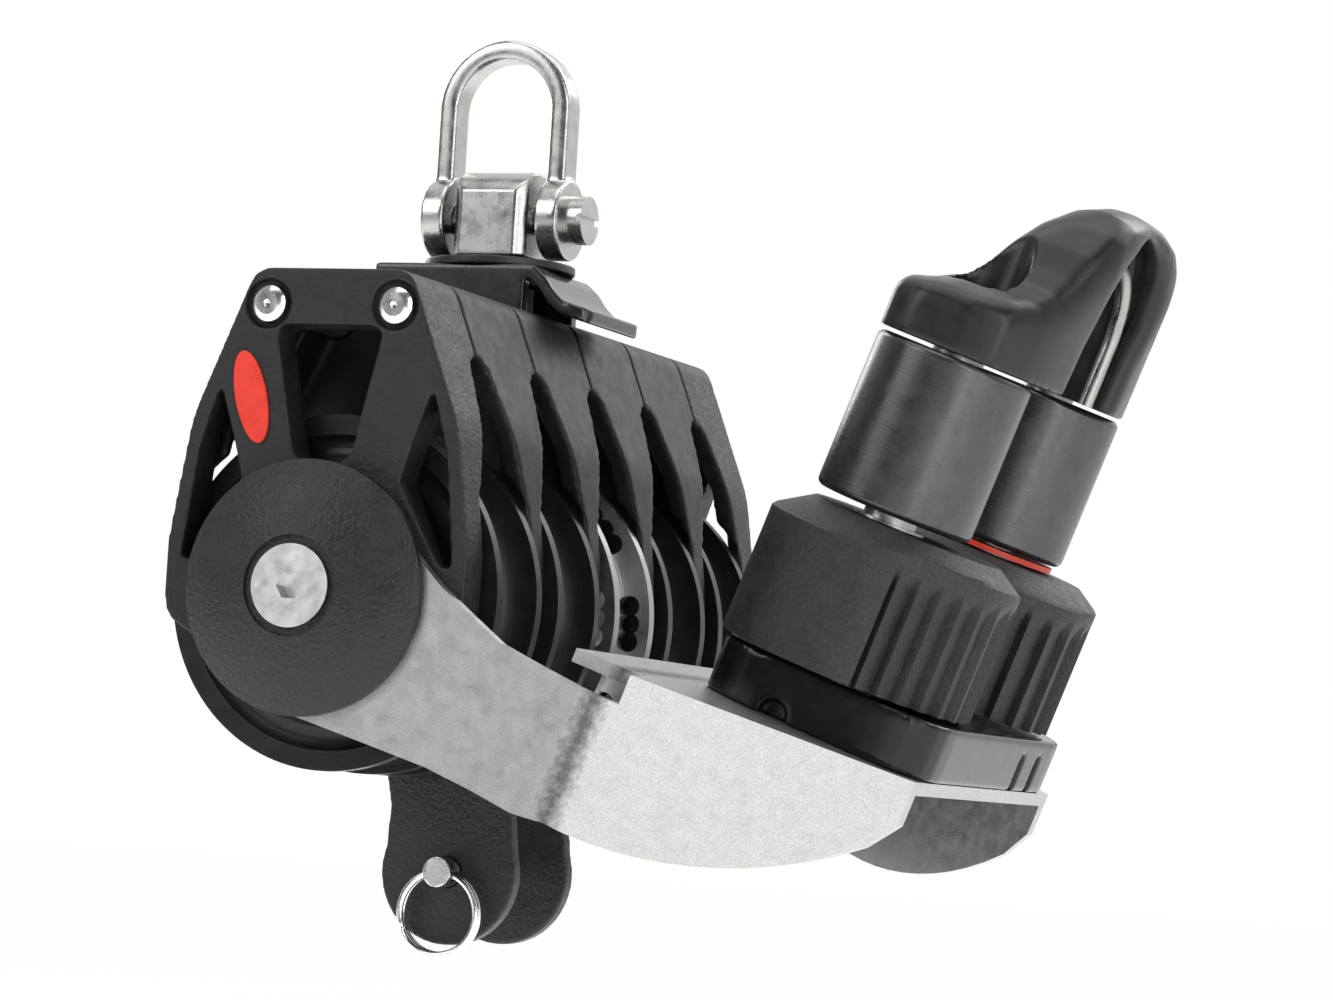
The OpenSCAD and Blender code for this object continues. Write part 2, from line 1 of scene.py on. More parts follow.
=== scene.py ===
import bpy
import json
import math
import numpy as np
from mathutils import Matrix, Vector


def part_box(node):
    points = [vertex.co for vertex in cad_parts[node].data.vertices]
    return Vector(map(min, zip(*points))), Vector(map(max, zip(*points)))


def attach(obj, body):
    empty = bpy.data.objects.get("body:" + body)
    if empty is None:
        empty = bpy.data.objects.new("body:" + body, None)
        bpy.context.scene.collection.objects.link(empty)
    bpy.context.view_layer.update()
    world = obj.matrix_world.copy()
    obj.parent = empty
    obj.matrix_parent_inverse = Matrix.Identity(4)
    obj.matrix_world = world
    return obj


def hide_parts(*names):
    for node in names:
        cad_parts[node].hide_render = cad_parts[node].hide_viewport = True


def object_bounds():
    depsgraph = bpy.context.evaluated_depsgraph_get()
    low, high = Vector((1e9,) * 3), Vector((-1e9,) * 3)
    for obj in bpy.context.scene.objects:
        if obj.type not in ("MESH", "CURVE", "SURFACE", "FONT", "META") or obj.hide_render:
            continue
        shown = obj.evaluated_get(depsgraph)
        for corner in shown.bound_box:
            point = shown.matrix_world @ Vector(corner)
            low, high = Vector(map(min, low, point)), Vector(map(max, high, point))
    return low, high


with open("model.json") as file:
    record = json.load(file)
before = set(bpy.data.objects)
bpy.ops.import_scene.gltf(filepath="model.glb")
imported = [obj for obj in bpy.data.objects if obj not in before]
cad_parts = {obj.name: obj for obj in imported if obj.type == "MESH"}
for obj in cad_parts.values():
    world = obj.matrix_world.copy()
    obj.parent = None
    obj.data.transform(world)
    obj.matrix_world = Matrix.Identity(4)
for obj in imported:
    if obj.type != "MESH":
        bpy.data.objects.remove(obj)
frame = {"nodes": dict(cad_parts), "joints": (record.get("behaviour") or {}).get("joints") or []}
size_at_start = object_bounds()
NODES = frame["nodes"]
MM = 0.001


# ---------------------------------------------------------------- places
def middle(node):
    lo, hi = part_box(node)
    return (lo + hi) / 2


AXLE = middle("axle")
POST_NEAR = next(j for j in frame["joints"] if j["name"] == "cam_near_pivot")
CLEAT_UP = Vector(POST_NEAR["axis"]).normalized()
CLEAT_FRONT = Vector((CLEAT_UP.z, 0, -CLEAT_UP.x))
NEAR_POST = Vector(POST_NEAR["pos_m"])
FAR_POST = Vector((NEAR_POST.x, -NEAR_POST.y, NEAR_POST.z))


def heights(node):
    """Lowest and highest height of a node along the cleat's own axis."""
    found = [v.co.dot(CLEAT_UP) for v in NODES[node].data.vertices]
    return min(found), max(found)


# ---------------------------------------------------------------- materials
def link(tree, a, b):
    tree.links.new(a, b)


def noise(tree, vector, scale, detail=3.0, rough=0.55):
    n = tree.nodes.new("ShaderNodeTexNoise")
    n.inputs["Scale"].default_value = scale
    n.inputs["Detail"].default_value = detail
    n.inputs["Roughness"].default_value = rough
    link(tree, vector, n.inputs["Vector"])
    return n.outputs["Fac"]


def maths(tree, op, a, b=None, clamp=False):
    n = tree.nodes.new("ShaderNodeMath")
    n.operation = op
    n.use_clamp = clamp
    for socket, value in zip(n.inputs, (a, b)):
        if value is None:
            continue
        if isinstance(value, (int, float)):
            socket.default_value = value
        else:
            link(tree, value, socket)
    return n.outputs[0]


def remap(tree, value, lo, hi, to_lo, to_hi):
    n = tree.nodes.new("ShaderNodeMapRange")
    link(tree, value, n.inputs["Value"])
    for name, v in (("From Min", lo), ("From Max", hi), ("To Min", to_lo), ("To Max", to_hi)):
        n.inputs[name].default_value = v
    return n.outputs["Result"]


def dot(tree, vector, axis):
    n = tree.nodes.new("ShaderNodeVectorMath")
    n.operation = "DOT_PRODUCT"
    link(tree, vector, n.inputs[0])
    n.inputs[1].default_value = axis
    return n.outputs["Value"]


def stretched(tree, vector, axis, along, across):
    """The position, scaled by along on that axis and by across square to it."""
    n = tree.nodes.new("ShaderNodeVectorMath")
    n.operation = "SCALE"
    link(tree, vector, n.inputs[0])
    n.inputs["Scale"].default_value = across
    m = tree.nodes.new("ShaderNodeVectorMath")
    m.operation = "SCALE"
    m.inputs[0].default_value = axis
    link(tree, maths(tree, "MULTIPLY", dot(tree, vector, axis), along - across), m.inputs["Scale"])
    s = tree.nodes.new("ShaderNodeVectorMath")
    s.operation = "ADD"
    link(tree, n.outputs[0], s.inputs[0])
    link(tree, m.outputs[0], s.inputs[1])
    return s.outputs[0]


def blended(tree, fac, a, b):
    n = tree.nodes.new("ShaderNodeMix")
    n.data_type = "RGBA"
    link(tree, fac, n.inputs["Factor"])
    for socket, value in ((n.inputs[6], a), (n.inputs[7], b)):
        if isinstance(value, tuple):
            socket.default_value = value
        else:
            link(tree, value, socket)
    return n.outputs[2]


def shade(colour, k):
    return tuple(min(1.0, c * k) for c in colour) + (1.0,)


def plus(tree, height, more):
    """A bump height with one more layer on it; the first layer finds none below."""
    return more if height is None else maths(tree, "ADD", height, more)


def speckled(tree, colours, speck, fine):
    """The colours, darkened by fine specks."""
    dark = tree.nodes.new("ShaderNodeMix")
    dark.data_type = "RGBA"
    dark.blend_type = "MULTIPLY"
    dark.inputs["Factor"].default_value = 1.0
    link(tree, colours, dark.inputs[6])
    link(tree, blended(tree, speck, (1 - fine,) * 3 + (1.0,), (1.0, 1.0, 1.0, 1.0)), dark.inputs[7])
    return dark.outputs[2]


def turning_marks(tree, place, centre, axis, pitch_mm, depth):
    """Lathe rings about an axis: a noise that changes only with the distance from it."""
    n = tree.nodes.new("ShaderNodeVectorMath")
    n.operation = "SUBTRACT"
    link(tree, place, n.inputs[0])
    n.inputs[1].default_value = centre
    radial = tree.nodes.new("ShaderNodeVectorMath")
    radial.operation = "MULTIPLY"
    link(tree, n.outputs[0], radial.inputs[0])
    radial.inputs[1].default_value = tuple(1.0 - abs(c) for c in axis)
    size = tree.nodes.new("ShaderNodeVectorMath")
    size.operation = "LENGTH"
    link(tree, radial.outputs[0], size.inputs[0])
    ring = tree.nodes.new("ShaderNodeTexNoise")
    ring.noise_dimensions = "1D"
    ring.inputs["Scale"].default_value = 1 / (pitch_mm * MM)
    ring.inputs["Detail"].default_value = 3.0
    link(tree, size.outputs["Value"], ring.inputs["W"])
    return maths(tree, "MULTIPLY", ring.outputs["Fac"], depth)


def painted_fold_shade_band(tree, place, axis, at, half_mm, strength):
    """How strongly the painted shade along a fold shows: strength on the fold, none half_mm away, with an
    uneven edge.
    """
    off = maths(tree, "ABSOLUTE", maths(tree, "SUBTRACT", dot(tree, place, axis), at))
    uneven = maths(tree, "SUBTRACT", noise(tree, place, 900.0, 4.0), 0.5)
    wobble = maths(tree, "MULTIPLY", uneven, half_mm * MM * 1.6)
    return remap(tree, maths(tree, "ADD", off, wobble), 0.0, half_mm * MM, strength, 0.0)


def finish(name, colour, rough, metal=0.0, specular=0.5, mottle=0.25, mottle_mm=3.0, rough_var=0.08,
           grain_mm=0.0, grain_depth=0.0, fine_mm=0.0, fine=0.0, brushed=None, brush_depth=0.0, coat=0.0,
           turned=None, painted_fold_shade=None):
    """A procedural finish in object space: mottled colour, uneven gloss, cast grain, tool marks and painted
    shade along a fold.
    """
    m = bpy.data.materials.new(name)
    m.use_nodes = True
    t = m.node_tree
    b = t.nodes["Principled BSDF"]
    place = t.nodes.new("ShaderNodeTexCoord").outputs["Object"]
    cloud = noise(t, place, 1 / (mottle_mm * MM), 5.0, 0.6)
    tone = remap(t, cloud, 0.3, 0.7, 0.0, 1.0)
    colours = blended(t, tone, shade(colour, 1 - mottle), shade(colour, 1 + mottle))
    roughness = remap(t, cloud, 0.3, 0.7, rough - rough_var, rough + rough_var)
    height = None
    if fine:
        speck = noise(t, place, 1 / (fine_mm * MM), 2.0, 0.7)
        speck = remap(t, speck, 0.35, 0.65, 0.0, 1.0)
        colours = speckled(t, colours, speck, fine)
        roughness = maths(t, "ADD", roughness, remap(t, speck, 0.0, 1.0, fine * 0.2, -fine * 0.1))
    if brushed is not None:
        axis, along, across = brushed
        lines = noise(t, stretched(t, place, axis, 1 / (along * MM), 1 / (across * MM)), 1.0, 3.0, 0.6)
        roughness = maths(t, "ADD", roughness, remap(t, lines, 0.3, 0.7, -0.04, 0.04))
        height = maths(t, "MULTIPLY", lines, brush_depth)
    if turned is not None:
        height = plus(t, height, turning_marks(t, place, *turned))
    if grain_depth:
        grain = maths(t, "MULTIPLY", noise(t, place, 1 / (grain_mm * MM), 2.0, 0.6), grain_depth)
        height = plus(t, height, grain)
    # Painted shade: the colour darkens to a near-black band along the fold.
    if painted_fold_shade is not None:
        colours = blended(t, painted_fold_shade_band(t, place, *painted_fold_shade), colours, shade(colour, 0.13))
    link(t, colours, b.inputs["Base Color"])
    link(t, maths(t, "MAXIMUM", roughness, 0.03, True), b.inputs["Roughness"])
    b.inputs["Metallic"].default_value = metal
    b.inputs["Specular IOR Level"].default_value = specular
    b.inputs["Coat Weight"].default_value = coat
    b.inputs["Coat Roughness"].default_value = 0.12
    if height is not None:
        bump = t.nodes.new("ShaderNodeBump")
        bump.inputs["Strength"].default_value = 1.0
        bump.inputs["Distance"].default_value = MM
        link(t, height, bump.inputs["Height"])
        link(t, bump.outputs["Normal"], b.inputs["Normal"])
    return m


BLACK = (0.012, 0.012, 0.013)
composite = finish("composite", (0.011, 0.011, 0.012), 0.5, specular=0.36, mottle=0.3, grain_mm=0.8,
                   grain_depth=0.2)
# A darker copy of the composite for the dividers: painted shade for their place deep between the sheaves,
# with finer grain and less gloss.
composite_painted_shade = finish("composite_painted_shade", (0.006, 0.006, 0.0065), 0.5, specular=0.3, mottle=0.2,
                         grain_mm=0.5, grain_depth=0.06)
cap_black = finish("cap_black", (0.010, 0.010, 0.0105), 0.46, specular=0.42, mottle=0.3, grain_mm=0.8,
                   grain_depth=0.24)
becket_black = finish("becket_black", (0.013, 0.013, 0.014), 0.48, specular=0.4, mottle=0.3, grain_mm=0.7,
                      grain_depth=0.22)
acetal = finish("acetal", (0.008, 0.008, 0.0085), 0.36, specular=0.3, mottle=0.15,
                turned=(AXLE, (0, 1, 0), 0.35, 0.02), grain_mm=0.4, grain_depth=0.01)
grey_metal = finish("grey_metal", (0.34, 0.34, 0.33), 0.36, 1.0, mottle=0.12, grain_mm=0.3, grain_depth=0.03,
                    turned=(AXLE, (0, 1, 0), 0.3, 0.03))
bearing = finish("bearing", (0.62, 0.60, 0.54), 0.4, mottle=0.08, grain_mm=0.5, grain_depth=0.01)
washer_black = finish("washer_black", BLACK, 0.45, mottle=0.2, grain_mm=0.4, grain_depth=0.02)
base_black = finish("base_black", (0.006, 0.006, 0.0065), 0.2, specular=0.32, mottle=0.2, rough_var=0.05,
                    grain_mm=2.5, grain_depth=0.012)
cam_black = finish("cam_black", (0.019, 0.019, 0.020), 0.52, specular=0.42, mottle=0.35, mottle_mm=4.0,
                   grain_mm=0.45, grain_depth=0.13, fine_mm=0.5, fine=0.45)
anodised = finish("anodised", (0.075, 0.075, 0.08), 0.29, 0.85, mottle=0.12, brushed=(CLEAT_UP, 0.16, 9.0),
                  brush_depth=0.014, rough_var=0.04)
red = finish("red", (0.62, 0.045, 0.02), 0.42, mottle=0.12, grain_mm=0.6, grain_depth=0.015)
badge_red = finish("badge_red", (0.66, 0.035, 0.02), 0.3, mottle=0.08, rough_var=0.05, grain_mm=0.8,
                   grain_depth=0.006, coat=0.4)
fairlead_grey = finish("fairlead_grey", (0.009, 0.0095, 0.011), 0.34, specular=0.36, mottle=0.15,
                       rough_var=0.07, grain_mm=0.8, grain_depth=0.012)
coated = finish("coated", (0.009, 0.009, 0.0095), 0.27, mottle=0.2, rough_var=0.05, grain_mm=0.9,
                grain_depth=0.014, coat=0.25)
satin = finish("satin", (0.44, 0.435, 0.42), 0.27, 1.0, mottle=0.1, brushed=((0, 0, 1), 6.0, 0.25),
               brush_depth=0.012)
satin_round = finish("satin_round", (0.46, 0.455, 0.44), 0.24, 1.0, mottle=0.1, grain_mm=0.35,
                     grain_depth=0.014)
liner_steel = finish("liner_steel", (0.30, 0.30, 0.29), 0.3, 1.0, mottle=0.15, grain_mm=0.5, grain_depth=0.03)
bright = finish("bright", (0.74, 0.735, 0.72), 0.2, 1.0, mottle=0.06, grain_mm=0.5, grain_depth=0.01)
screw_steel = finish("screw_steel", (0.70, 0.695, 0.68), 0.36, 1.0, mottle=0.07, grain_mm=0.5,
                     grain_depth=0.008, turned=(AXLE, (0, 1, 0), 0.35, 0.012))
plain_steel = finish("plain_steel", (0.5, 0.5, 0.49), 0.35, 1.0, mottle=0.1, grain_mm=0.4, grain_depth=0.015)
FOLD_BACK = -0.019  # where the bracket's painted fold shade lies, in metres from the near post, along CLEAT_FRONT
# The bracket's sheet carries a painted shade band along its fold.
sheet = finish("sheet", (0.47, 0.465, 0.455), 0.43, 1.0, mottle=0.09, mottle_mm=2.2, rough_var=0.06,
               grain_mm=0.42, grain_depth=0.035, fine_mm=0.3, fine=0.2,
               painted_fold_shade=(CLEAT_FRONT, (NEAR_POST + CLEAT_FRONT * FOLD_BACK).dot(CLEAT_FRONT), 2.5, 0.8))

FINISHES = {
    "shackle_bow": satin, "shackle_pin": satin_round, "swivel_post": satin, "swivel_washer": washer_black,
    "swivel_nut": plain_steel, "head_bracket": coated, "tie_bolts": bright, "cheek_near": composite,
    "cheek_far": composite, "axle": plain_steel, "cap_near": cap_black, "cap_far": cap_black,
    "hub_screws": screw_steel, "arm_washers": washer_black, "cleat_bracket": sheet, "cleat_base": base_black,
    "cam_near": cam_black, "cam_far": cam_black, "cam_bushes": plain_steel, "cam_springs": plain_steel,
    "roller_near": anodised, "roller_far": anodised, "roller_bushes": plain_steel, "red_washer": red,
    "fairlead": fairlead_grey, "fairlead_liner": liner_steel, "cleat_screws": bright,
    "cleat_nuts": plain_steel, "becket_plates": becket_black, "becket_pin": bright, "becket_ring": bright,
    "badge": badge_red,
}
for i in range(1, 6):
    FINISHES["sheave_%d" % i] = grey_metal if i == 3 else acetal
    FINISHES["balls_%d" % i] = bearing
    FINISHES["hub_%d" % i] = bearing
for i in range(1, 5):
    # The dividers take the darker copy of the composite, painted shade.
    FINISHES["divider_%d" % i] = composite_painted_shade
for name, piece in NODES.items():
    piece.data.materials.clear()
    piece.data.materials.append(FINISHES[name])


# ---------------------------------------------------------------- softened CAD edges
def rounded(node, width_mm):
    """Bevels a CAD node's sharp edges, once its doubled vertices are welded."""
    o = NODES[node]
    w = o.modifiers.new("weld", "WELD")
    w.merge_threshold = 0.02 * MM
    b = o.modifiers.new("bevel", "BEVEL")
    b.width = width_mm * MM
    b.segments = 3
    b.limit_method = "ANGLE"
    b.angle_limit = math.radians(32)
    b.use_clamp_overlap = True
    b.miter_outer = "MITER_ARC"
    n = o.modifiers.new("normals", "WEIGHTED_NORMAL")
    n.keep_sharp = False


def melted(node, voxel_mm, passes):
    """Rounds a CAD node all over: an even skin of small faces, smoothed."""
    o = NODES[node]
    r = o.modifiers.new("skin", "REMESH")
    r.mode = "VOXEL"
    r.voxel_size = voxel_mm * MM
    r.use_smooth_shade = True
    s = o.modifiers.new("smooth", "SMOOTH")
    s.factor = 0.5
    s.iterations = passes


melted("shackle_bow", 0.28, 12)
melted("head_bracket", 0.35, 10)
melted("cheek_near", 0.42, 7)
melted("swivel_post", 0.25, 6)
for n in ("cheek_far", "divider_1", "divider_2", "divider_3", "divider_4"):
    melted(n, 0.5, 6)
melted("becket_plates", 0.35, 6)
melted("cleat_base", 0.4, 16)
for n in ("roller_near", "roller_far"):
    rounded(n, 0.4)
rounded("becket_pin", 0.5)
rounded("swivel_washer", 0.3)
rounded("shackle_pin", 0.35)


# ---------------------------------------------------------------- replaced pieces
def mesh_piece(name, verts, faces, material, body, node, sharp=38):
    m = bpy.data.meshes.new(name)
    m.from_pydata([tuple(v) for v in verts], [], faces)
    m.materials.append(material)
    m.polygons.foreach_set("use_smooth", [True] * len(m.polygons))
    m.set_sharp_from_angle(angle=math.radians(sharp))
    m.update()
    o = bpy.data.objects.new(name, m)
    bpy.context.scene.collection.objects.link(o)
    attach(o, body)
    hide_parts(node)
    return o


def eased(t):
    """0 to 1 with a soft start and end; values outside stay at the ends."""
    t = min(1.0, max(0.0, t))
    return t * t * (3 - 2 * t)


# The cams, in mm and degrees, seen from above each post with 0 towards the front of the cleat.
CAM_R, CAM_GROW = 18.5, 6.4  # plain radius, and how much the lobe adds
LOBE_AT, LOBE_HALF, LOBE_FULLNESS = 47, 95, 0.6
TEETH, TEETH_FROM, TEETH_TO, TOOTH_DEEP = 32, 301, 124, 1.25
TOOTH_RISE, TOOTH_DROP = 0.84, 0.16  # shares of a tooth on its long and short flank
TEETH_TOP, TEETH_FADE = 4.2, 4.5  # the teeth end this far under the top, and fade over this height
CONE_H, CONE_R, CONE_NARROWS, CONE_X, CONE_Y = 5.5, 24.6, 8.6, 2.6, 2.8  # the top's cone and where it stands
CAM_BORE, CAM_ROOM = 6.05, 0.05
CAM_LOW, CAM_TOP = ((h - NEAR_POST.dot(CLEAT_UP)) / MM for h in heights("cam_near"))


def cam_radius(a):
    """The cam's outline without teeth: a circle that swells into one lobe."""
    d = abs(((a - LOBE_AT + 540) % 360) - 180)
    swell = 0.5 + 0.5 * math.cos(math.radians(d * 180 / LOBE_HALF)) if d < LOBE_HALF else 0.0
    return CAM_R + CAM_GROW * swell ** LOBE_FULLNESS


def tooth_cut(a, side):
    """How deep the tooth outline lies at an angle, as a share of the full depth."""
    f = (side * a / 360 * TEETH) % 1
    return f / TOOTH_RISE if f < TOOTH_RISE else (1 - f) / TOOTH_DROP


def cone_radius(a, lift):
    """Distance from the post to the off-centre cone, lift mm above the cone's foot."""
    d = CONE_X * math.cos(math.radians(a)) + CONE_Y * math.sin(math.radians(a))
    top = CONE_R - CONE_NARROWS * lift / CONE_H
    return d + math.sqrt(d * d - CONE_X ** 2 - CONE_Y ** 2 + top * top) - CAM_ROOM


def cam_piece(name, post, side, body, node):
    """One cam as a stack of outlines with a plain bore. Side -1 mirrors it, but not the lean of its teeth."""
    steps, rows = TEETH * 25, 44
    levels = [CAM_LOW + (CAM_TOP - CAM_LOW) * k / rows for k in range(rows + 1)]
    verts, faces = [], []

    def place(r, a, h):
        c, s = math.cos(math.radians(a)), math.sin(math.radians(a))
        return post + (CLEAT_FRONT * (r * c) + Vector((0, side * r * s, 0)) + CLEAT_UP * h) * MM

    for h in levels:
        depth = eased((CAM_TOP - TEETH_TOP - h) / TEETH_FADE) * TOOTH_DEEP
        lift = h - (CAM_TOP - CONE_H)
        for k in range(steps):
            a = 360 * k / steps
            r = cam_radius(a) - CAM_ROOM
            if a > TEETH_FROM or a < TEETH_TO:
                r -= depth * tooth_cut(a, side)
            if lift > 0:
                r = min(r, cone_radius(a, lift))
            verts.append(place(r, a, h))
    for h in (CAM_TOP, CAM_LOW):
        for k in range(steps):
            verts.append(place(CAM_BORE, 360 * k / steps, h))
    inner_top, inner_low = (rows + 1) * steps, (rows + 2) * steps
    for j in range(rows):
        for k in range(steps):
            n = (k + 1) % steps
            faces.append((j * steps + k, j * steps + n, (j + 1) * steps + n, (j + 1) * steps + k))
    for k in range(steps):
        n = (k + 1) % steps
        faces.append((rows * steps + k, rows * steps + n, inner_top + n, inner_top + k))
        faces.append((inner_top + k, inner_top + n, inner_low + n, inner_low + k))
        faces.append((inner_low + k, inner_low + n, n, k))
    if side < 0:
        faces = [f[::-1] for f in faces]
    return mesh_piece(name, verts, faces, cam_black, body, node, 30)


cam_piece("cam_near_form", NEAR_POST, 1, "cam_near_body", "cam_near")
cam_piece("cam_far_form", FAR_POST, -1, "cam_far_body", "cam_far")


RING_TURNS, RING_START = 2.0, 205  # turns of wire, and the angle in degrees where the wire begins
CROSS_FROM, CROSS_LONG = 0.93, 0.16  # where the wire steps to the second turn, in turns
WIRE_SHARE, END_TAPER = 0.97, 0.8


def split_ring():
    """Two turns of round wire; the second turn steps over behind the first."""
    lo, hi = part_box("becket_ring")
    c = (lo + hi) / 2
    wire = (hi.y - lo.y) / 4 * WIRE_SHARE
    big = (hi.z - lo.z) / 2 - wire
    n, around = 240, 16
    verts, faces = [], []
    for k in range(n + 1):
        t = RING_TURNS * k / n
        ang = math.radians(RING_START - 360 * t)
        y = (eased((t - CROSS_FROM) / CROSS_LONG) * 2 - 1) * wire
        out = Vector((math.cos(ang), 0, math.sin(ang)))
        p = c + out * big + Vector((0, y, 0))
        taper = 1.0 if 1 < k < n - 1 else END_TAPER
        for j in range(around):
            b = 2 * math.pi * j / around
            verts.append(p + (out * math.cos(b) + Vector((0, math.sin(b), 0))) * wire * taper)
    for k in range(n):
        for j in range(around):
            m = (j + 1) % around
            faces.append((k * around + j, (k + 1) * around + j, (k + 1) * around + m, k * around + m))
    faces.append(tuple(range(around)))
    faces.append(tuple(n * around + j for j in reversed(range(around))))
    return mesh_piece("split_ring", verts, faces, bright, "ring_body", "becket_ring")


split_ring()


def outline_distance(points, x, y):
    """Signed distance from a closed outline, negative inside."""
    best = np.full(x.shape, 1e9)
    inside = np.zeros(x.shape, bool)
    n = len(points)
    for k in range(n):
        (ax, ay), (bx, by) = points[k], points[(k + 1) % n]
        ex, ey = bx - ax, by - ay
        t = np.clip(((x - ax) * ex + (y - ay) * ey) / (ex * ex + ey * ey), 0, 1)
        best = np.minimum(best, (x - ax - t * ex) ** 2 + (y - ay - t * ey) ** 2)
        if ey:
            crosses = ((ay > y) != (by > y)) & (x < ax + (y - ay) * ex / ey)
            inside ^= crosses
    return np.where(inside, -np.sqrt(best), np.sqrt(best))


def both(a, b, soft):
    """Where two fields overlap, with the edge between them rounded."""
    mix = np.clip(0.5 - 0.5 * (b - a) / soft, 0, 1)
    return b * (1 - mix) + a * mix + soft * mix * (1 - mix)


def skin(field, lo, step):
    """Surface nets: one vertex in each grid cell that the surface passes through."""
    inside = field < 0
    near = np.zeros(tuple(n - 1 for n in field.shape), int)
    total, count = np.zeros(near.shape + (3,)), np.zeros(near.shape)
    corners = [(i, j, k) for i in (0, 1) for j in (0, 1) for k in (0, 1)]

    def at(a, c):
        return a[tuple(slice(o, o + n) for o, n in zip(c, near.shape))]

    for c in corners:
        for axis in range(3):
            if c[axis]:
                continue
            d = tuple(v + (i == axis) for i, v in enumerate(c))
            fa, fb = at(field, c), at(field, d)
            cut = at(inside, c) != at(inside, d)
            t = np.where(cut, fa / np.where(fa == fb, 1, fa - fb), 0)
            for i in range(3):
                total[..., i] += np.where(cut, c[i] + (t if i == axis else 0), 0)
            count += cut
    used = count > 0
    index = -np.ones(near.shape, int)
    index[used] = np.arange(used.sum())
    cells = np.argwhere(used)
    verts = (cells + total[used] / count[used][:, None]) * step + lo
    faces = []
    for axis in range(3):
        u, v = (axis + 1) % 3, (axis + 2) % 3
        shifted = [slice(None)] * 3
        shifted[axis] = slice(1, None)
        base = [slice(None)] * 3
        base[axis] = slice(None, -1)
        cut = inside[tuple(base)] != inside[tuple(shifted)]
        for p in np.argwhere(cut):
            if p[u] == 0 or p[v] == 0 or p[u] >= near.shape[u] or p[v] >= near.shape[v]:
                continue
            ring = []
            for du, dv in ((1, 1), (0, 1), (0, 0), (1, 0)):
                q = p.copy()
                q[u] -= du
                q[v] -= dv
                ring.append(int(index[tuple(q)]))
            faces.append(tuple(ring if inside[tuple(p)] else ring[::-1]))
    return verts, faces


# The fairlead, in mm: u towards the front, y across, h up along the posts from the cam joints' height.
EYE_H, EYE_R = 57, 13.2  # height of the eye's centre, and its radius
LINER_U, LINER_R, LINER_WIRE = 11, 12.6, 1.42  # where the liner lies, its bend and its wire, with room
WELL_R, WELL_FLOOR = 5.4, 4  # the wells of the post screws
SEAT_ROOM = 0.02
GRID_U, GRID_Y, GRID_H = 38, 84, 36  # size of the grid that the skin is made on


def arch_distance(y, h, radius):
    """Distance across to an upside-down U: straight legs below the eye's centre, a half circle above."""
    return np.where(h > EYE_H, np.hypot(y, h - EYE_H), abs(y)) - radius


def fairlead():
    """The guide over the rollers, with its side, front and plan outlines rounded into each other."""
    low = (heights("fairlead")[0] - NEAR_POST.dot(CLEAT_UP)) / MM
    post = abs(NEAR_POST.y) / MM
    step = 0.55
    lo = np.array([-16.0, -42.0, low - 3])
    n = [int(v / step) for v in (GRID_U, GRID_Y, GRID_H)]
    u, y, h = np.meshgrid(*(lo[i] + step * np.arange(n[i]) for i in range(3)), indexing="ij")
    side = [(-13, low - 6), (-13, 49.2), (-11, 51), (-8, 52.2), (-5, 54.2), (-2.8, 57.6), (-1, 62),
            (1.2, 66.6), (4.4, 71), (8.4, 74.2), (11.4, 74.7), (14.2, 73.6), (16.4, 71), (17.3, 68),
            (17.3, 62), (16.6, 56), (15.8, 50), (15.2, low - 6)]
    outer = [(39.3, low - 6), (39.3, 49.2), (37.4, 51), (34, 52.4), (30, 53.9), (26.8, 56.2), (24.2, 59.8),
             (21.8, 63.8), (18.4, 68.2), (13.6, 72.2), (8, 74.2), (3, 74.75)]
    rim = [(-13.4, 31), (-10.6, 36.6), (-5.6, 39.4), (3, 39.4), (9.2, 36), (13, 29), (17.8, 17)]
    plan = [(a, -b) for a, b in rim] + rim[::-1]
    front = outer + [(-a, b) for a, b in reversed(outer)]
    f = both(outline_distance(side, u, h), outline_distance(front, y, h), 5.0)
    f = both(f, outline_distance(plan, u, y), 3.5)
    f = both(f, -arch_distance(y, h, EYE_R), 3.2)
    well = np.hypot(u, abs(y) - post) - WELL_R
    f = np.maximum(f, -np.maximum(well, low + WELL_FLOOR - h))
    groove = np.hypot(u - LINER_U, arch_distance(y, h, LINER_R)) - LINER_WIRE
    f = np.maximum(f, -groove)
    f = np.maximum(f, low - h + SEAT_ROOM)
    verts, faces = skin(f, lo, step)
    foot = NEAR_POST + Vector((0, -NEAR_POST.y, 0))
    verts = [foot + (CLEAT_FRONT * a + Vector((0, b, 0)) + CLEAT_UP * c) * MM for a, b, c in verts]
    o = mesh_piece("fairlead_form", verts, faces, fairlead_grey, "cleat_arm", "fairlead",
                   40)
    s = o.modifiers.new("smooth", "SMOOTH")
    s.factor = 0.5
    s.iterations = 3


fairlead()

# ---------------------------------------------------------------- floor, light, camera
scene = bpy.context.scene
FLOOR_REACH, FLOOR_LEVEL, FLOOR_GLOW = 9.0, -0.3, 0.45
floor_mesh = bpy.data.meshes.new("floor")
floor_mesh.from_pydata([(x * FLOOR_REACH, y * FLOOR_REACH, FLOOR_LEVEL)
                        for x, y in ((-1, -1), (1, -1), (1, 1), (-1, 1))], [], [(0, 1, 2, 3)])
floor_white = finish("floor_white", (0.9, 0.9, 0.9), 0.7, specular=0.1, mottle=0.01, mottle_mm=60.0,
                     rough_var=0.03, grain_mm=3.0, grain_depth=0.01)
floor_shader = floor_white.node_tree.nodes["Principled BSDF"]
floor_shader.inputs["Emission Color"].default_value = (1, 1, 1, 1)
floor_shader.inputs["Emission Strength"].default_value = FLOOR_GLOW
floor_mesh.materials.append(floor_white)
floor = bpy.data.objects.new("floor", floor_mesh)
scene.collection.objects.link(floor)

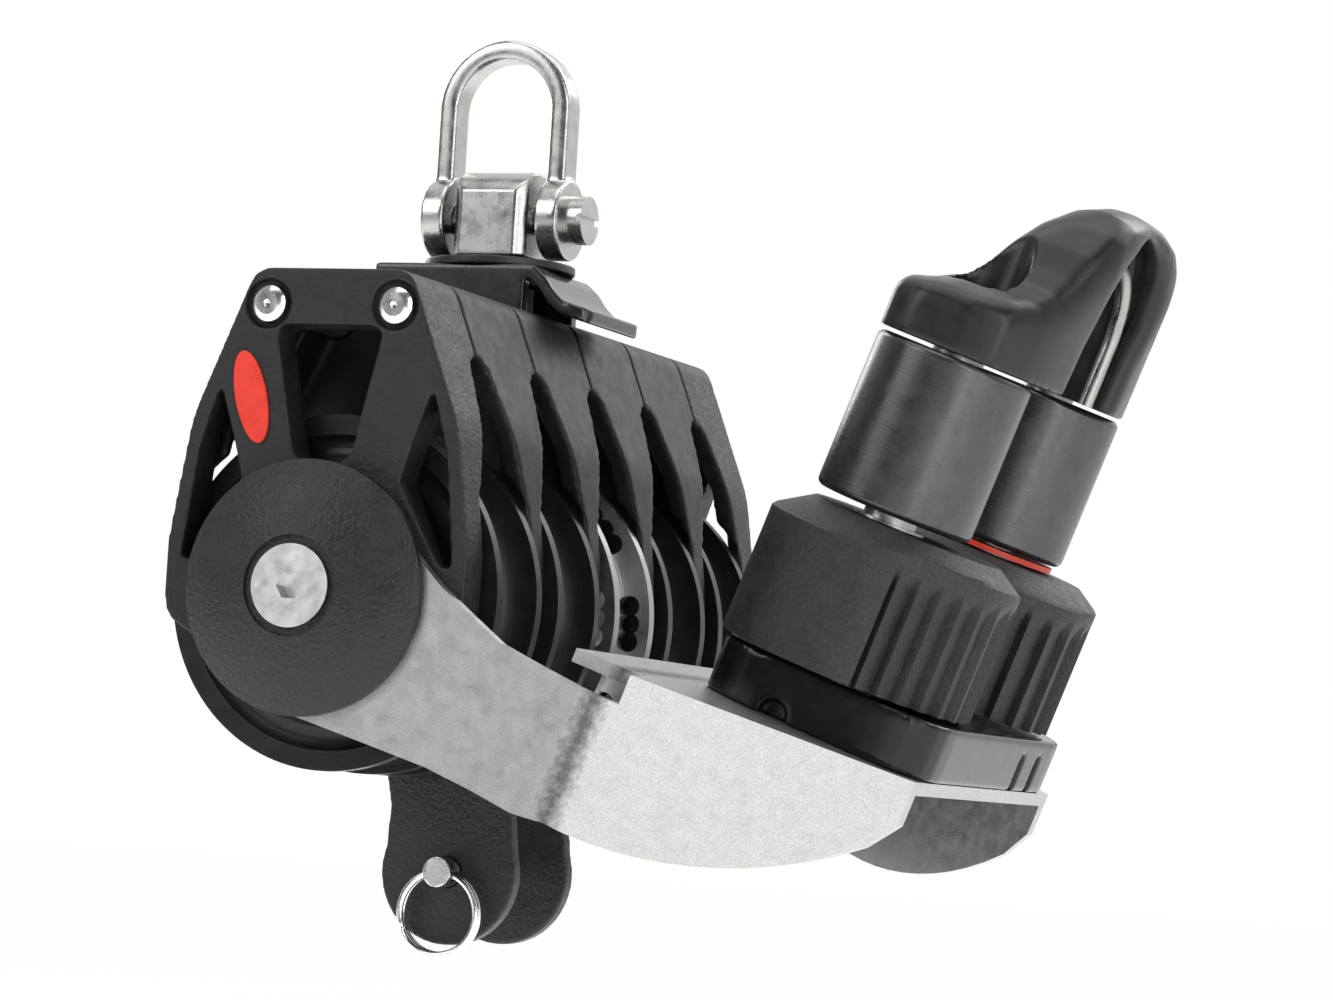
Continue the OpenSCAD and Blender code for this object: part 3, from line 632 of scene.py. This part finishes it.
world = bpy.data.worlds.new("studio")
scene.world = world
world.use_nodes = True
wt = world.node_tree
wt.nodes.clear()
way = wt.nodes.new("ShaderNodeTexCoord").outputs["Generated"]
behind = remap(wt, dot(wt, way, (0, 1, 0)), -0.35, 0.35, 0.0, 1.0)
sky = wt.nodes.new("ShaderNodeBackground")
link(wt, blended(wt, behind, (0.12, 0.12, 0.123, 1.0), (1.0, 1.0, 1.0, 1.0)), sky.inputs["Color"])
sky.inputs["Strength"].default_value = 1.0
out = wt.nodes.new("ShaderNodeOutputWorld")
link(wt, sky.outputs[0], out.inputs["Surface"])

centre = (size_at_start[0] + size_at_start[1]) / 2


def softbox(name, azimuth, elevation, distance, width, height, power):
    a, e = math.radians(azimuth), math.radians(elevation)
    back = Vector((math.sin(a) * math.cos(e), -math.cos(a) * math.cos(e), math.sin(e)))
    data = bpy.data.lights.new(name, "AREA")
    data.shape = "RECTANGLE"
    data.size, data.size_y, data.energy = width, height, power
    o = bpy.data.objects.new(name, data)
    o.location = centre + back * distance
    o.rotation_euler = (-back).to_track_quat("-Z", "Y").to_euler()
    o.visible_camera = False
    scene.collection.objects.link(o)


softbox("key", -34, 30, 1.2, 0.6, 0.7, 5.0)
softbox("side", 66, 10, 1.1, 0.3, 0.9, 2.4)
softbox("strip", 44, 12, 1.1, 0.12, 1.1, 3.6)
softbox("top", 0, 82, 1.0, 0.8, 0.8, 4.5)
softbox("rim", 150, 40, 1.2, 0.7, 0.7, 6.0)
softbox("rim_left", -125, 25, 1.2, 0.4, 0.8, 5.0)

AZIMUTH, ELEVATION, ROLL, DISTANCE, LENS = 21.255, -4.081, 3.454, 0.7416, 118.1
aim = AXLE + Vector((0.033, 0, 0.021))
a, e, r = (math.radians(v) for v in (AZIMUTH, ELEVATION, ROLL))
back = Vector((math.sin(a) * math.cos(e), -math.cos(a) * math.cos(e), math.sin(e)))
right = Vector((0, 0, 1)).cross(back).normalized()
up = back.cross(right)
right, up = right * math.cos(r) + up * math.sin(r), up * math.cos(r) - right * math.sin(r)
data = bpy.data.cameras.new("camera")
data.lens = LENS
data.sensor_width = 36
data.clip_start, data.clip_end = 0.01, 50
camera = bpy.data.objects.new("camera", data)
facing = Matrix((right, up, back)).transposed().to_4x4()
camera.matrix_world = Matrix.Translation(aim + back * DISTANCE) @ facing
scene.collection.objects.link(camera)
scene.camera = camera
scene.view_settings.view_transform = "Standard"
